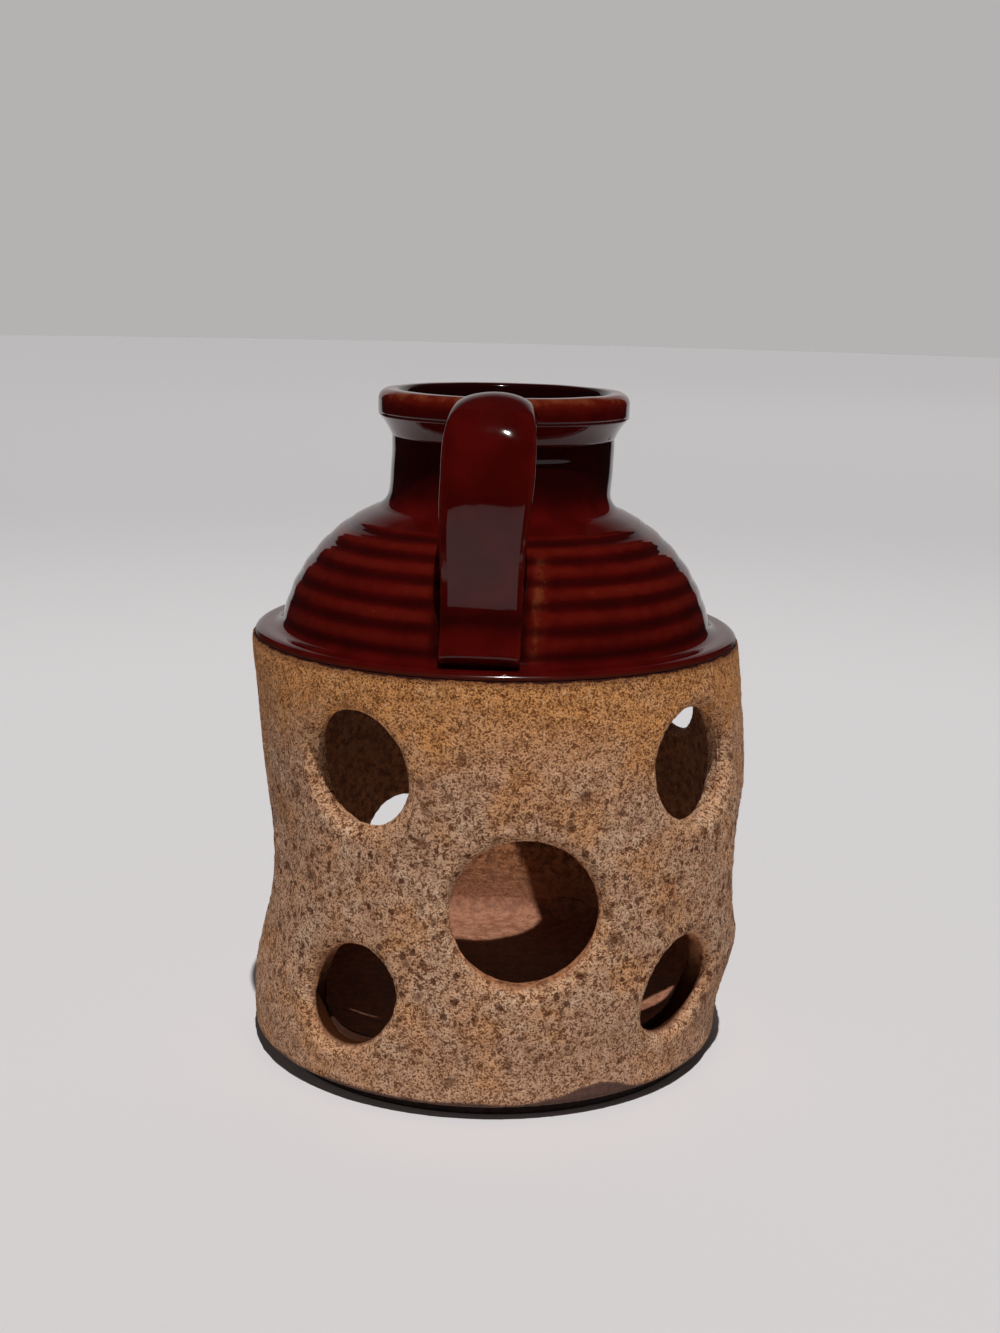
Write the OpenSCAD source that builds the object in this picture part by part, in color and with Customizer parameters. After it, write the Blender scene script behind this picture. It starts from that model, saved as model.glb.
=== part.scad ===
// Pierced stoneware jug: a drum with round holes, a ribbed dome shoulder, a neck, a rolled rim and a handle.
// The origin is on the table at the jug's centre, +Z is up and the handle stands towards -Y.

/* [Foot] */
// Height of the bare foot ring that shows below the wall
foot_h = 3; // [2:0.5:6]
// Outer diameter of the foot ring
foot_d = 112; // [100:1:113]
// Width of the foot ring
foot_w = 10; // [6:0.5:20]
// Depth of the key that holds the foot ring in the floor
foot_key_h = 1.5; // [0.5:0.25:3]

/* [Floor] */
// Thickness of the floor
floor_t = 9; // [6:0.5:12]
// Height of the floor's rim, which the wall's skirt covers
floor_rim_h = 4; // [2:0.5:5]
// Width of the floor's rim outside the wall's inner face
floor_rim_w = 3.2; // [1.5:0.1:4]

/* [Wall] */
// Outer diameter of the wall at its top and bottom
wall_d = 122; // [116:0.5:130]
// Thickness of the wall
wall_t = 6.5; // [5.5:0.25:8]
// Height of the wall
wall_h = 103; // [100:1:112]
// Depth to which the wall draws in at its waist
waist_depth = 1.7; // [0.5:0.1:2]
// Distance by which the wall leans out towards +X at its waist
wall_lean = 3.4; // [0.5:0.1:4.5]
// Rounding of the wall's bottom edge
wall_edge_r = 2; // [1:0.25:2.5]

/* [Holes] */
// Diameter of the larger holes at mid height
mid_hole_d = 37; // [28:0.5:40]
// Diameter of the upper small holes
upper_hole_d = 29; // [20:0.5:31]
// Diameter of the lower small holes
lower_hole_d = 27.5; // [20:0.5:29]
// Height of the larger holes' centres above the table
mid_hole_z = 50.5; // [46:0.5:56]
// Height of the upper holes' centres above the table
upper_hole_z = 82; // [78:0.5:85]
// Height of the lower holes' centres above the table
lower_hole_z = 26.8; // [26:0.2:31]
// Rounding of a hole's outer edge
hole_lip_r = 3.5; // [1:0.25:4]

/* [Shoulder] */
// Thickness of the ledge that covers the wall's top
ledge_t = 1.4; // [1:0.1:3]
// Width of the ledge outside the dome
ledge_w = 6.5; // [4:0.25:9]
// Height of the dome from the ledge to the edge of the neck's foot
dome_h = 28.9; // [26:0.1:32]
// Radius of the dome's curve
dome_r = 38.8; // [37:0.2:44]
// Thickness of the dome
dome_t = 5.5; // [4:0.25:7]
// Length of the spigot inside the wall
shoulder_spigot_h = 5; // [2:0.5:8]
// Thickness of the spigot
shoulder_spigot_t = 5; // [3:0.25:7]
// Number of throwing grooves round the dome
groove_count = 6; // [2:1:9]
// Depth of a throwing groove
groove_depth = 0.45; // [0.2:0.05:0.8]
// Radius of a throwing groove's hollow
groove_r = 2; // [1:0.1:3]

/* [Neck] */
// Outer diameter of the neck
neck_d = 55; // [51:0.5:59]
// Inner diameter of the neck
neck_bore_d = 43; // [36:0.5:45]
// Outer diameter of the neck's foot, which is let into the shoulder
neck_foot_d = 68; // [66:0.5:72]
// Depth to which the neck's foot is let into the shoulder
neck_inlet = 1.5; // [0.8:0.1:2]
// Height from the edge of the neck's foot to the rim
neck_h = 18; // [14:0.1:22]
// Radius of the hollow where the neck flares out onto the dome
neck_flare_r = 5; // [3:0.25:6]
// Length of the neck's spigot below its seat
neck_spigot_h = 3; // [1:0.25:4]
// Thickness of the neck's spigot
neck_spigot_t = 3; // [2:0.25:3.5]

/* [Rim] */
// Outer diameter of the rim
rim_d = 62; // [60:0.5:68]
// Diameter of the mouth at the top
mouth_d = 50.6; // [46:0.2:52]
// Height of the rim
rim_h = 11.5; // [10:0.25:14]
// Height of the sloped underside of the rim
rim_under_h = 5.5; // [4:0.25:6.5]
// Rounding of the rim's outer top edge
rim_round_r = 2.6; // [1.5:0.1:2.8]
// Rounding of the mouth's edge
mouth_round_r = 1.6; // [1:0.1:2]
// Height of the lap by which the rim goes round the neck's top
rim_lap_h = 3; // [1.5:0.25:4]
// Thickness of the neck's tongue inside the lap
rim_lap_t = 3; // [2:0.25:3.5]

/* [Handle] */
// Width of the strap at the rim
strap_top_w = 22; // [16:0.5:28]
// Width of the strap at its foot
strap_foot_w = 18.8; // [14:0.2:24]
// Thickness of the strap where it springs from the rim
strap_root_t = 9; // [7:0.25:10]
// Thickness of the strap at the top of its arch
strap_top_t = 7; // [5:0.25:8]
// Thickness of the strap at its foot
strap_foot_t = 5.4; // [4:0.2:7]
// Radius of the arch along the strap's middle
arch_r = 16; // [13:0.25:20]
// Distance from the jug's axis to the arch's centre
arch_reach = 37; // [35:0.25:42]
// Height of the strap's top above the rim
arch_rise = 1; // [0:0.25:4]
// Distance from the dome's bottom edge out to the middle of the strap's end
strap_foot_out = 2.7; // [1.5:0.1:4]
// Height of the middle of the strap's end above the ledge
strap_foot_rise = 1.5; // [1:0.1:4]
// Slope at which the strap's end flares out along the dome, in degrees from upright
strap_flare = 28; // [10:1:40]

/* [Joints] */
// Thickness of the slip layer between joined pieces
slip_gap = 0.2; // [0.1:0.05:0.4]

/* [Hidden] */

$fn = 96;

// Overrun of a cut past the face that it opens
overrun = 1;

// Directions of the holes in each row, in degrees from the handle towards +X
mid_hole_angles = [8, 91, 172, -89];
upper_hole_angles = [-31, 54, 128, -150];
lower_hole_angles = [-33, 51, 132, -145];
// The holes were cut by hand: each one's own size and rise, as shares of its row's diameter
mid_size_shares = [1, 1, 1, 1];
mid_rise_shares = [0, 0, 0.04, 0];
upper_size_shares = [1, 1, 0.8, 1];
upper_rise_shares = [0, 0, 0.09, 0];
lower_size_shares = [1, 1, 1, 1];
lower_rise_shares = [0, 0, 0, 0.3];

// Shares of the waist's depth and of the lean at even heights, from the floor's top to the shoulder's spigot
waist_shares = [0, 0.1, 0.46, 0.94, 0.88, 0.38, 0.08, 0, 0];
lean_shares = [0, 0.4, 0.87, 1, 0.98, 0.87, 0.67, 0.33, 0];

// Heights of the seats
wall_z = foot_h;
floor_z = foot_h + floor_t;
ledge_z = wall_z + wall_h;
dome_z = ledge_z + slip_gap + ledge_t;
neck_z = dome_z + dome_h;
neck_seat_z = neck_z - neck_inlet;
rim_z = neck_z + neck_h;
jug_z = rim_z + rim_h;

// Radii of the seats
wall_r = wall_d / 2;
wall_inner_r = wall_r - wall_t;
floor_rim_r = wall_inner_r + floor_rim_w;
dome_foot_r = wall_r - ledge_w;
neck_r = neck_d / 2;
neck_foot_r = neck_foot_d / 2;
neck_bore_r = neck_bore_d / 2;
neck_spigot_r = neck_bore_r + neck_spigot_t;
lap_r = neck_bore_r + rim_lap_t;
rim_r = rim_d / 2;
mouth_r = mouth_d / 2;

// The dome's curve runs through its own foot and through the edge of the neck's foot
dome_span = dome_foot_r - neck_foot_r;
dome_chord = norm([dome_span, dome_h]);
dome_middle = [dome_foot_r - dome_span / 2, dome_z + dome_h / 2];
dome_drop = sqrt(dome_r * dome_r - dome_chord * dome_chord / 4);
dome_centre = dome_middle - dome_drop * [dome_h, dome_span] / dome_chord;

// Angles at which the dome's curve starts and ends, and a point on it
function dome_angle(p) = atan2(p[1] - dome_centre[1], p[0] - dome_centre[0]);
function on_dome(angle) = dome_centre + dome_r * [cos(angle), sin(angle)];
dome_low = dome_angle([dome_foot_r, dome_z]);
dome_high = dome_angle([neck_foot_r, neck_z]);

// A flat section of a turned piece, from one radius and height to another
module band(inner, outer, low, high)
    translate([inner, low])
        square([outer - inner, high - low]);

// Everything inside the dome's outer curve between two heights, out to a radius
module dome_section(grow, outer, low, high)
    intersection() {
        translate(dome_centre)
            circle(r = dome_r + grow, $fn = 180);
        band(0, outer, low, high);
    }

// The foot ring stands on the table and its key stands in the floor's groove
module foot_ring()
    color("#6e4a3a")
        rotate_extrude() {
            band(foot_d / 2 - foot_w, foot_d / 2, 0, foot_h - slip_gap);
            foot_key(0);
        }

// Section of the foot ring's key, made larger for the groove that takes it
module foot_key(grow)
    band(
        foot_d / 2 - foot_w * (1 + key_share) / 2 - grow,
        foot_d / 2 - foot_w * (1 - key_share) / 2 + grow,
        foot_h - slip_gap - foot_h / 2,
        foot_h - slip_gap + foot_key_h + grow
    );
// Share of the foot ring's width that its key takes
key_share = 0.4;

// The floor is pushed up into the wall's skirt until its rim meets the step
module floor_slab()
    color("#a97f68")
        rotate_extrude()
            difference() {
                union() {
                    band(0, floor_rim_r - slip_gap, foot_h, foot_h + floor_rim_h - slip_gap);
                    band(0, wall_inner_r - slip_gap, foot_h, floor_z);
                }
                foot_key(slip_gap);
            }

// The drum's curve: the waist's depth and the lean by height, both nothing at the floor and at the spigot
curve_low = floor_z;
curve_high = ledge_z - shoulder_spigot_h;
curve_last = len(lean_shares) - 1;
curve_heights = [for (i = [0 : curve_last]) curve_low + (curve_high - curve_low) * i / curve_last];
waist_curve = [for (i = [0 : curve_last]) [curve_heights[i], waist_depth * waist_shares[i]]];
lean_curve = [for (i = [0 : curve_last]) [curve_heights[i], wall_lean * lean_shares[i]]];
function waist_at(z) = lookup(z, waist_curve);
function lean_at(z) = lookup(z, lean_curve);

// The wall is a leaning drum with a slight waist, cut by the staggered holes
module pierced_wall()
    color("#b48a5c")
        difference() {
            leaning_drum();
            wall_foot_cut();
            hole_row(mid_hole_angles, mid_hole_z, mid_hole_d, mid_size_shares, mid_rise_shares);
            hole_row(upper_hole_angles, upper_hole_z, upper_hole_d, upper_size_shares, upper_rise_shares);
            hole_row(lower_hole_angles, lower_hole_z, lower_hole_d, lower_size_shares, lower_rise_shares);
        }

// Count of steps round the bottom edge and round the drum
edge_steps = 4;
drum_steps = 72;

// Closed outline of the drum's wall: the rounded bottom edge, the waist, the top and the plain inner face
drum_outline = concat(
    [[wall_inner_r, wall_z]],
    [for (i = [0 : edge_steps])
        let (angle = 90 * i / edge_steps - 90)
            [wall_r - wall_edge_r, wall_z + wall_edge_r] + wall_edge_r * [cos(angle), sin(angle)]],
    [for (z = curve_heights) [wall_r - waist_at(z), z]],
    [[wall_r, ledge_z], [wall_inner_r, ledge_z]],
    [for (i = [curve_last : -1 : 0]) [wall_inner_r, curve_heights[i]]]
);

// The outline is turned in even steps, and each of its points is pushed over by the lean at its height
module leaning_drum() {
    count = len(drum_outline);
    points = [for (k = [0 : drum_steps - 1], p = drum_outline)
        let (angle = 360 * k / drum_steps)
            [p[0] * cos(angle) + lean_at(p[1]), p[0] * sin(angle), p[1]]];
    faces = [for (k = [0 : drum_steps - 1], i = [0 : count - 1])
        let (
            next = (k + 1) % drum_steps,
            up = (i + 1) % count,
            a = k * count + i,
            b = k * count + up,
            c = next * count + up,
            d = next * count + i
        )
        each [[a, b, c], [a, c, d]]];
    polyhedron(points, faces);
}

// The wall's foot has a step for the floor's rim, and takes the key of a foot ring that is wide enough
module wall_foot_cut()
    rotate_extrude() {
        band(0, floor_rim_r, wall_z - overrun, wall_z + floor_rim_h);
        foot_key(slip_gap);
    }

// One row of holes, each with its own direction, size and rise
module hole_row(angles, height, diameter, size_shares, rise_shares)
    for (i = [0 : len(angles) - 1])
        hole_cut(angles[i], height + diameter * rise_shares[i], diameter * size_shares[i]);

// A hole is cut from the middle outwards by one turned shape: a straight bore that opens like a trumpet
module hole_cut(angle, height, diameter)
    translate([lean_at(height), 0, height])
        rotate([0, 0, angle])
            rotate([90, 0, 0])
                rotate_extrude()
                    hole_section(diameter / 2, wall_r - waist_at(height) - hole_lip_r);

module hole_section(bore_r, lip_z) {
    band(0, bore_r, wall_inner_r / 2, wall_r + overrun);
    difference() {
        band(0, bore_r + hole_lip_r, lip_z, wall_r + overrun);
        translate([bore_r + hole_lip_r, lip_z])
            circle(r = hole_lip_r);
    }
}

// The shoulder is a dome on a thin ledge, with a spigot that drops inside the wall
module ribbed_shoulder()
    color("#5a1712")
        rotate_extrude($fn = 180)
            difference() {
                union() {
                    dome_section(0, wall_r, dome_z - ledge_t / 2, neck_z);
                    ledge_section();
                    band(0, wall_inner_r - slip_gap, ledge_z - shoulder_spigot_h, dome_z);
                }
                shoulder_hollow();
                throwing_grooves();
            }

// The ledge has a rounded outer edge and lies on the wall's top
module ledge_section() {
    band(0, wall_r - ledge_t / 2, ledge_z + slip_gap, dome_z);
    translate([wall_r - ledge_t / 2, dome_z - ledge_t / 2])
        circle(d = ledge_t);
}

// The room inside the shoulder: the spigot's bore, the dome's inner curve and the neck's seat
module shoulder_hollow() {
    bore_r = wall_inner_r - slip_gap - shoulder_spigot_t;
    intersection() {
        translate(dome_centre)
            circle(r = dome_r - dome_t, $fn = 180);
        band(0, bore_r, dome_centre[1], neck_z);
    }
    band(0, bore_r, ledge_z - shoulder_spigot_h - overrun, dome_z);
    band(0, neck_spigot_r + slip_gap, dome_z, neck_z);
    band(0, neck_foot_r + slip_gap, neck_seat_z, neck_z + overrun);
}

// Shallow grooves that the potter's fingers left, evenly spaced along the dome's curve
module throwing_grooves()
    for (i = [0 : groove_count - 1]) {
        angle = dome_low + (dome_high - dome_low) * (i + groove_start_share) / groove_count;
        translate(on_dome(angle) + (groove_r - groove_depth) * [cos(angle), sin(angle)])
            circle(r = groove_r);
    }
// Place of the first groove, as a share of the space between two
groove_start_share = 0.35;

// The neck's foot is let into the shoulder and continues the dome's curve, and its spigot drops inside
module neck_collar()
    color("#541511")
        rotate_extrude($fn = 180)
            difference() {
                union() {
                    band(0, neck_r, neck_seat_z + slip_gap, rim_z);
                    dome_section(0, neck_foot_r, neck_seat_z + slip_gap, rim_z);
                    neck_flare();
                    band(0, neck_spigot_r, neck_seat_z - neck_spigot_h, neck_z);
                    band(0, lap_r, neck_z, rim_z + rim_lap_h);
                }
                band(0, neck_bore_r, neck_seat_z - neck_spigot_h - overrun, jug_z);
            }

// The flare is a hollow curve that touches the neck's side and the dome
module neck_flare() {
    flare_out = neck_r + neck_flare_r - dome_centre[0];
    flare_up = sqrt(pow(dome_r + neck_flare_r, 2) - flare_out * flare_out);
    flare_centre = dome_centre + [flare_out, flare_up];
    difference() {
        intersection() {
            polygon([dome_centre, flare_centre, [0, flare_centre[1]]]);
            band(0, neck_foot_r, neck_seat_z + slip_gap, rim_z);
        }
        translate(flare_centre)
            circle(r = neck_flare_r);
    }
}

// The rim is a thick round lip that laps over the neck's tongue
module rolled_rim()
    color("#67201a")
        rotate_extrude($fn = 180)
            difference() {
                rim_section();
                band(0, lap_r + slip_gap, rim_z, rim_z + rim_lap_h + slip_gap);
            }

module rim_section() {
    band_z = rim_z + rim_under_h;
    crest_z = jug_z - rim_round_r;
    mouth_z = jug_z - mouth_round_r;
    polygon([
        [neck_bore_r, rim_z + slip_gap],
        [neck_r, rim_z + slip_gap],
        [rim_r, band_z],
        [rim_r, crest_z],
        [rim_r - rim_round_r, crest_z],
        [rim_r - rim_round_r, jug_z],
        [mouth_r + mouth_round_r, jug_z],
        [mouth_r + mouth_round_r, mouth_z],
        [mouth_r, mouth_z]
    ]);
    translate([rim_r - rim_round_r, crest_z])
        circle(r = rim_round_r);
    translate([mouth_r + mouth_round_r, mouth_z])
        circle(r = mouth_round_r);
}

// The strap's middle line: round the arch from the rim, then down and out along the shoulder
arch_centre = [arch_reach, jug_z + arch_rise - arch_r - strap_top_t / 2];
arch_start = 180 - acos((arch_reach - rim_r + rim_round_r) / arch_r);
strap_side = arch_centre + [arch_r, 0];
strap_foot = [dome_foot_r + strap_foot_out, dome_z + strap_foot_rise];
// Share of the drop's height over which each end of its curve keeps its direction
drop_lead_share = 0.36;
strap_lead = (strap_side[1] - strap_foot[1]) * drop_lead_share;

// Count of cross sections along the arch, along the drop and of points round each
arch_steps = 12;
drop_steps = 14;
round_steps = 24;

// One point of the drop's curve, from 0 at the arch to 1 at the foot
function on_drop(t) =
    pow(1 - t, 3) * strap_side
    + 3 * pow(1 - t, 2) * t * (strap_side - [0, strap_lead])
    + 3 * (1 - t) * t * t * (strap_foot + strap_lead * [-sin(strap_flare), cos(strap_flare)])
    + pow(t, 3) * strap_foot;

arch_line = [for (i = [0 : arch_steps - 1])
    let (angle = arch_start * (1 - i / arch_steps))
        arch_centre + arch_r * [cos(angle), sin(angle)]];
drop_line = [for (i = [0 : drop_steps]) on_drop(i / drop_steps)];
strap_line = concat(arch_line, drop_line);
strap_last = len(strap_line) - 1;

// Direction across the strap's thickness, away from the jug
function strap_out(i) =
    let (
        ahead = strap_line[min(i + 1, strap_last)] - strap_line[max(i - 1, 0)],
        along = ahead / norm(ahead)
    )
    i == 0 ? [cos(arch_start), sin(arch_start)] : [-along[1], along[0]];

// Width and thickness of the strap at one cross section: the root is thickest, up to half way round the arch
function strap_w(i) = strap_top_w + (strap_foot_w - strap_top_w) * i / strap_last;
function root_share(i) = max(0, 1 - 2 * i / arch_steps);
function strap_t(i) =
    strap_top_t + (strap_foot_t - strap_top_t) * i / strap_last + (strap_root_t - strap_top_t) * root_share(i);

// Roundness of the section at the rim and at the foot: 2 is an ellipse, more is flatter with tighter edges
strap_top_power = 2.5;
strap_foot_power = 4;
function strap_power(i) = strap_top_power + (strap_foot_power - strap_top_power) * i / strap_last;
function rounded(value, power) = sign(value) * pow(abs(value), 2 / power);

function strap_ring(i) =
    [for (k = [0 : round_steps - 1])
        let (
            angle = 360 * k / round_steps,
            across = strap_w(i) / 2 * rounded(cos(angle), strap_power(i)),
            through = strap_t(i) / 2 * rounded(sin(angle), strap_power(i)),
            place = strap_line[i] + through * strap_out(i)
        )
        [across, -place[0], place[1]]];

// The strap is one crowned bar swept along its line, cut to the faces that it is luted to
module strap_handle()
    color("#5e1a14")
        difference() {
            strap_sweep();
            handle_seats();
        }

module strap_sweep() {
    points = [for (i = [0 : strap_last]) each strap_ring(i)];
    sides = [for (i = [0 : strap_last - 1], k = [0 : round_steps - 1])
        let (
            a = i * round_steps + k,
            b = i * round_steps + (k + 1) % round_steps
        )
        each [[a, a + round_steps, b], [b, a + round_steps, b + round_steps]]];
    start_cap = [[for (k = [0 : round_steps - 1]) k]];
    end_cap = [[for (k = [0 : round_steps - 1]) strap_last * round_steps + round_steps - 1 - k]];
    polyhedron(points, concat(start_cap, sides, end_cap));
}

// The faces that carry the handle, with a layer of slip: the rim's side, the dome and the ledge
module handle_seats()
    rotate_extrude($fn = 180) {
        polygon([
            [0, rim_z],
            [neck_r + slip_gap, rim_z],
            [rim_r + slip_gap, rim_z + rim_under_h],
            [rim_r + slip_gap, jug_z + strap_top_t],
            [0, jug_z + strap_top_t]
        ]);
        dome_section(slip_gap, wall_r, ledge_z, neck_z);
        band(0, wall_r, ledge_z, dome_z + slip_gap);
    }

foot_ring();
floor_slab();
pierced_wall();
ribbed_shoulder();
neck_collar();
rolled_rim();
strap_handle();
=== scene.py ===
# %% [markdown]
# # A pierced stoneware jug
# The jug is a straight drum with round holes, a ribbed dome, a neck, a rolled rim and one strap handle.
# The solids are loaded first as a fixed frame, so every new piece can take its size and place from them.

# %% Load the frame
import math
import random

import bmesh
import bpy
import numpy as np
from mathutils import Matrix, Vector, noise


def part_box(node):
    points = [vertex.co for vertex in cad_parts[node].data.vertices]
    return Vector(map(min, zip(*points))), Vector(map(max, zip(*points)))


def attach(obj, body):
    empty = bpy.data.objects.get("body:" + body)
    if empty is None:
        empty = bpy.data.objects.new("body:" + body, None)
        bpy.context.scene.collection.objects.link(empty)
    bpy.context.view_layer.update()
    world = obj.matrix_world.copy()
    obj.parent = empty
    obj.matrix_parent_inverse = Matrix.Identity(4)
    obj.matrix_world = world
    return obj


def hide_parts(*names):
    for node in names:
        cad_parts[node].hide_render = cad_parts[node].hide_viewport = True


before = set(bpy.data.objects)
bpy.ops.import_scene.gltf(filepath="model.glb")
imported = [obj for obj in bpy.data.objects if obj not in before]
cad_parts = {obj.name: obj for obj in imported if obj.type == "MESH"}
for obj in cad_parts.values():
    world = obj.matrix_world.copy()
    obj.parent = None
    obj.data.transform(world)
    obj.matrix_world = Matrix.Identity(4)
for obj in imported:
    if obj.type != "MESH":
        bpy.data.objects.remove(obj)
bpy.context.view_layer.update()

mm = 0.001

# %% [markdown]
# ## The camera
# The photograph was taken from a little above the rim, turned a touch to the right of the handle.
# A camera could be aimed with a constraint, but a written tilt, roll and place can be checked by eye.
# The lens comes from the focal length in pixels, because the sensor's width fits the picture's long side.

# %% Camera
image_height_px = 1333
focal_length_px = 1900
camera_tilt = math.radians(12.19)
camera_roll = math.radians(1.33)
camera_turn = math.radians(3.5)
camera_place = Vector((1.3, -471.8, 198.2)) * mm

camera_data = bpy.data.cameras.new("camera")
camera_data.lens = camera_data.sensor_width * focal_length_px / image_height_px
camera_data.clip_start = 10 * mm
camera = bpy.data.objects.new("camera", camera_data)
bpy.context.scene.collection.objects.link(camera)
camera.matrix_world = (
    Matrix.Rotation(camera_turn, 4, "Z")
    @ Matrix.Translation(camera_place)
    @ Matrix.Rotation(math.pi / 2 - camera_tilt, 4, "X")
    @ Matrix.Rotation(camera_roll, 4, "Z")
)
bpy.context.scene.camera = camera
print("lens in mm:", round(camera_data.lens, 2))

# %% [markdown]
# ## Small helpers for meshes
# A turned pot is a section spun round its axis, as on the wheel, so one helper spins any closed section.
# Its points on the axis merge into one pole, and the loose edge between two poles is deleted.
# A second helper turns a finished bmesh into an object at the origin, shaded smooth.

# %% Spin a section
turn_steps = 240
merge_distance = 0.01 * mm


def arc(centre, radius, start, end, steps):
    """Points of a round stretch of a section, from one angle in degrees to another."""
    angles = [math.radians(start + (end - start) * i / steps) for i in range(steps + 1)]
    return [(centre[0] + radius * math.cos(a), centre[1] + radius * math.sin(a)) for a in angles]


def turned(section, steps=turn_steps):
    """Spins a closed section of (radius, height) points round the upright axis."""
    bm = bmesh.new()
    corners = [bm.verts.new((r, 0, z)) for r, z in section]
    loop = [bm.edges.new((a, b)) for a, b in zip(corners, corners[1:] + corners[:1])]
    bmesh.ops.spin(
        bm, geom=corners + loop, cent=(0, 0, 0), axis=(0, 0, 1), angle=2 * math.pi,
        steps=steps, use_merge=True,
    )
    bmesh.ops.remove_doubles(bm, verts=bm.verts[:], dist=merge_distance)
    bmesh.ops.delete(bm, geom=[e for e in bm.edges if e.is_wire], context="EDGES")
    bmesh.ops.recalc_face_normals(bm, faces=bm.faces[:])
    return bm


def as_piece(name, bm):
    """Makes an object from a bmesh, smooth shaded, at the origin."""
    mesh = bpy.data.meshes.new(name)
    bm.to_mesh(mesh)
    bm.free()
    mesh.shade_smooth()
    piece = bpy.data.objects.new(name, mesh)
    bpy.context.scene.collection.objects.link(piece)
    return piece


print("steps round a turned piece:", turn_steps)

# %% [markdown]
# Hand marks are made by moving a finished mesh's points, and NumPy moves all of them at once.
# The same sums can store a number on each point, which a material reads later by its name.

# %% Points of a mesh
def ramp(value, low, high):
    """A soft step from 0 at low to 1 at high, for one number or a whole array."""
    share = np.clip((value - low) / (high - low), 0, 1)
    return share * share * (3 - 2 * share)


def points_of(mesh):
    """The places and the normals of a mesh's vertices, one row each."""
    places = np.zeros(len(mesh.vertices) * 3, np.float32)
    normals = np.zeros(len(mesh.vertices) * 3, np.float32)
    mesh.vertices.foreach_get("co", places)
    mesh.vertices.foreach_get("normal", normals)
    return places.reshape(-1, 3).astype(float), normals.reshape(-1, 3).astype(float)


def move_points(mesh, places):
    """Writes moved places back into a mesh."""
    mesh.vertices.foreach_set("co", places.astype(np.float32).ravel())
    mesh.update()


def lumps(places, size, seed):
    """Soft random lumps from -1 to 1 at each place, about as wide as size."""
    shift = Vector((seed * 17.3, seed * 5.1, seed * 9.7))
    return np.array([noise.noise(Vector(p) / size + shift) for p in places])


def paint(mesh, name, values):
    """Stores one number per vertex, which a material can read by its name."""
    layer = mesh.attributes.new(name, "FLOAT", "POINT")
    layer.data.foreach_set("value", np.asarray(values, np.float32))


print("a soft step at its quarter:", ramp(0.25, 0, 1))

# %% [markdown]
# ## The foot ring and the floor
# The jug stands on a ring of bare clay, set back under the drum so that it shows as a dark gap.
# The floor lies on it, and in the corner the potter pressed a roll of clay, which leaves a soft cove.
# Both are spun sections. Shallow rings, left by the fingers, are part of the floor's section.

# %% Foot ring
foot_low, foot_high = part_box("foot_ring")
wall_low, wall_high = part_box("pierced_wall")
foot_r = foot_high.x
foot_width = 10 * mm
foot_round = 0.8 * mm
foot_sunk = 0.3 * mm
foot_top = wall_low.z + foot_sunk

ring_section = arc((foot_r - foot_round, foot_low.z + foot_round), foot_round, -90, 0, 6)
ring_section += [(foot_r, foot_top), (foot_r - foot_width, foot_top)]
ring_section += arc((foot_r - foot_width + foot_round, foot_low.z + foot_round), foot_round, 180, 270, 6)
foot_ring = as_piece("foot_ring_clay", turned(ring_section))
print("foot ring:", len(foot_ring.data.vertices), "points")

# %% Floor
floor_low, floor_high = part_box("floor_slab")
wall_r = wall_high.y
floor_inset = 8 * mm
floor_r = wall_r - floor_inset
cove_r = 6.5 * mm
finger_ring_step = 6.5 * mm
finger_ring_height = 0.08 * mm
floor_rings = 64
floor_steps = 160

floor_section = [(0, floor_low.z), (floor_r, floor_low.z)]
floor_section += arc((floor_r - cove_r, floor_high.z + cove_r), cove_r, 0, -90, 8)
for i in range(floor_rings):
    r = (floor_r - cove_r) * (1 - (i + 1) / (floor_rings + 1))
    ripple = finger_ring_height * math.cos(2 * math.pi * r / finger_ring_step)
    floor_section.append((r, floor_high.z + ripple))
floor_section.append((0, floor_high.z + finger_ring_height))
floor_slab = as_piece("floor_clay", turned(floor_section, floor_steps))
print("floor:", len(floor_slab.data.vertices), "points")

# %% [markdown]
# ## The pierced wall
# The drum was thrown as a plain wall, thicker at its foot, and the holes were cut in the leather-hard clay.
# So here the section is spun first, and round plugs then cut the holes with one Boolean.
# A voxel remesh afterwards gives an even skin, fine enough for lips, dimples and lumps to be real shape.

# %% Section of the drum
wall_t = 6.5 * mm
wall_foot_t, wall_top_t = 8.2 * mm, 6.3 * mm
thins_from, thins_to = 25 * mm, 75 * mm
waist_depth, waist_z, waist_reach = 0.45 * mm, 54 * mm, 18 * mm
foot_ease, foot_ease_low, foot_ease_high = 1.2 * mm, 6 * mm, 26 * mm
belly, belly_end, ledge_start = 0.15 * mm, 97 * mm, 106 * mm


def wall_radius(z):
    """Outer radius of the drum: drawn in at the waist, and eased in at the foot and under the ledge."""
    waist = waist_depth * np.exp(-(((z - waist_z) / waist_reach) ** 2))
    foot = foot_ease * ramp(-z, -foot_ease_high, -foot_ease_low)
    top = belly * ramp(z, belly_end, ledge_start)
    return wall_r + belly - waist - foot - top


def wall_bore(z):
    """Inner radius of the drum, which grows as the wall thins upwards."""
    return wall_r - wall_foot_t + (wall_foot_t - wall_top_t) * ramp(z, thins_from, thins_to)


print("drum's radius at the waist in mm:", round(float(wall_radius(waist_z)) / mm, 2))

# %% Spin the drum
wall_rows = 60
edge_round = 1.4 * mm
wall_bottom, wall_top = wall_low.z, wall_high.z
corner_z = wall_bottom + edge_round
corner_r = float(wall_radius(corner_z))

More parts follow.
